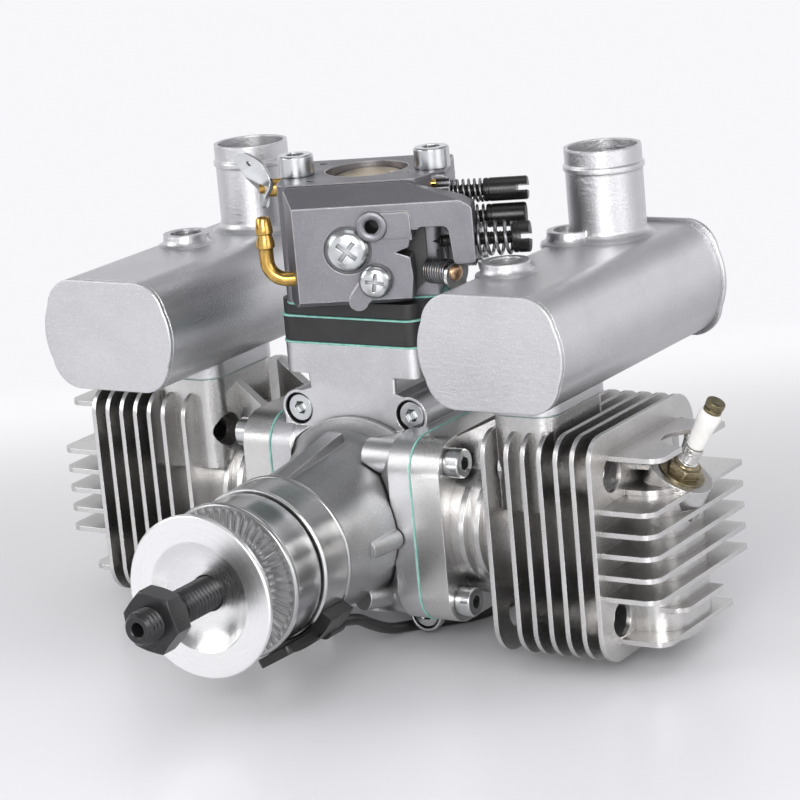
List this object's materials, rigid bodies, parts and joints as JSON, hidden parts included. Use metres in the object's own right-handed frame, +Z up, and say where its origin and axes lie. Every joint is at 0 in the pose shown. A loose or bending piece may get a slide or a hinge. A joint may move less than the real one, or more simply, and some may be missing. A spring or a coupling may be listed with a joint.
{
  "type": "flat twin model aircraft engine",
  "caption": "Air-cooled horizontally opposed two-stroke petrol engine with finned cylinders, side mufflers, a diaphragm carburettor on top and a propeller hub in front.",
  "frame": {"origin": "on the crankshaft's axis, at the front face of the propeller washer", "axes": "-Y along the propeller bolt, out of the engine; +X towards the forward cylinder; +Z up, towards the carburettor"},
  "size_m": [0.1876, 0.1911, 0.1156],
  "materials": {
    "cast_aluminium": "bead-blasted die casting",
    "fin_aluminium": "cast, edges machined bright",
    "muffler_aluminium": "bead-blasted",
    "machined_aluminium": "turned",
    "polished_aluminium": "polished",
    "case_steel": "ground",
    "screw_steel": "zinc plated",
    "black_steel": "black oxide",
    "zinc_steel": "zinc plated sheet",
    "spring_steel": "hard drawn wire",
    "gasket_green": "fibre gasket",
    "insulator_black": "moulded",
    "sensor_black": "moulded",
    "cap_black": "glossy",
    "lead_rubber": "smooth sheath",
    "seal_rubber": "moulded",
    "carb_casting": "die cast, tumbled",
    "brass_parts": "turned",
    "ceramic_white": "glazed ceramic",
    "plug_steel": "plated",
    "terminal_steel": "plated",
    "reed_carbon": "carbon sheet",
    "magnet_nickel": "nickel plated"
  },
  "bodies": {
    "engine": {"adjuster_springs": "spring_steel", "cable_coil": "lead_rubber", "cable_plug": "sensor_black", "carb_body": "carb_casting", "carb_gaskets": "gasket_green", "carb_screws": "screw_steel", "case_gaskets": "gasket_green", "case_screws": "screw_steel", "cover_screws": "zinc_steel", "crankcase": "cast_aluminium", "cylinder_left": "fin_aluminium", "cylinder_right": "fin_aluminium", "cylinder_screws": "screw_steel", "exhaust_gaskets": "gasket_green", "fuel_elbow": "brass_parts", "inlet_plug": "brass_parts", "insulator_blocks": "insulator_black", "intake_gaskets": "gasket_green", "main_bearings": "case_steel", "metering_cover": "zinc_steel", "muffler_caps_left": "muffler_aluminium", "muffler_caps_right": "muffler_aluminium", "muffler_shell_left": "muffler_aluminium", "muffler_shell_right": "muffler_aluminium", "nose_housing": "cast_aluminium", "plug_insulators": "ceramic_white", "plug_shells": "plug_steel", "plug_terminals": "terminal_steel", "pump_cover": "carb_casting", "rear_cover": "cast_aluminium", "reed_block": "machined_aluminium", "reed_petals": "reed_carbon", "sensor_cable": "lead_rubber", "sensor_holder": "sensor_black", "sensor_screws": "screw_steel", "shaft_seal": "seal_rubber", "throttle_spring": "spring_steel"},
    "crank": {"crankshaft": "case_steel", "prop_driver": "machined_aluminium", "sensor_magnet": "magnet_nickel", "prop_washer": "polished_aluminium", "prop_bolt": "black_steel", "prop_nut": "black_steel"},
    "piston_assembly_right": {"piston_right": "machined_aluminium", "piston_rings_right": "case_steel", "conrod_right": "machined_aluminium", "rod_pins_right": "case_steel"},
    "piston_assembly_left": {"piston_left": "machined_aluminium", "piston_rings_left": "case_steel", "conrod_left": "machined_aluminium", "rod_pins_left": "case_steel"},
    "throttle": {"throttle_shaft": "brass_parts", "throttle_plate": "brass_parts", "throttle_lever": "zinc_steel"},
    "choke": {"choke_shaft": "brass_parts", "choke_plate": "brass_parts", "choke_lever": "zinc_steel"},
    "high_mixture_needle": {"high_needle": "cap_black"},
    "low_mixture_needle": {"low_needle": "cap_black"},
    "idle_stop": {"idle_screw": "cap_black"}
  },
  "joints": [
    {"name": "crank_spin", "type": "hinge", "parent": "engine", "child": "crank", "pos_m": [0, 0.06, 0], "axis": [0, 1, 0], "continuous": true},
    {"name": "piston_slide_right", "type": "slide", "parent": "engine", "child": "piston_assembly_right", "axis": [-1, 0, 0], "range_m": [0, 0.024]},
    {"name": "piston_slide_left", "type": "slide", "parent": "engine", "child": "piston_assembly_left", "axis": [1, 0, 0], "range_m": [0, 0.024]},
    {"name": "throttle_turn", "type": "hinge", "parent": "engine", "child": "throttle", "pos_m": [-0.00163, 0.08515, 0.0576], "axis": [0.9135, 0.4067, 0], "range_deg": [-72, 0], "stiffness_Nm_per_rad": 0.02, "springref_deg": 28.65},
    {"name": "choke_turn", "type": "hinge", "parent": "engine", "child": "choke", "pos_m": [-0.00163, 0.08515, 0.0763], "axis": [0.9135, 0.4067, 0], "range_deg": [0, 78]},
    {"name": "high_needle_turn", "type": "hinge", "parent": "engine", "child": "high_mixture_needle", "pos_m": [0.02846, 0.09133, 0.074], "axis": [0.9135, 0.4067, 0], "range_deg": [-540, 540]},
    {"name": "low_needle_turn", "type": "hinge", "parent": "engine", "child": "low_mixture_needle", "pos_m": [0.02891, 0.09032, 0.068], "axis": [0.9135, 0.4067, 0], "range_deg": [-540, 540]},
    {"name": "idle_screw_turn", "type": "hinge", "parent": "engine", "child": "idle_stop", "pos_m": [0.03334, 0.08036, 0.0649], "axis": [0.9135, 0.4067, 0], "range_deg": [-720, 720]}
  ],
  "couplings": [
    {"joint": "piston_slide_left", "follows": "piston_slide_right", "ratio": 1}
  ]
}
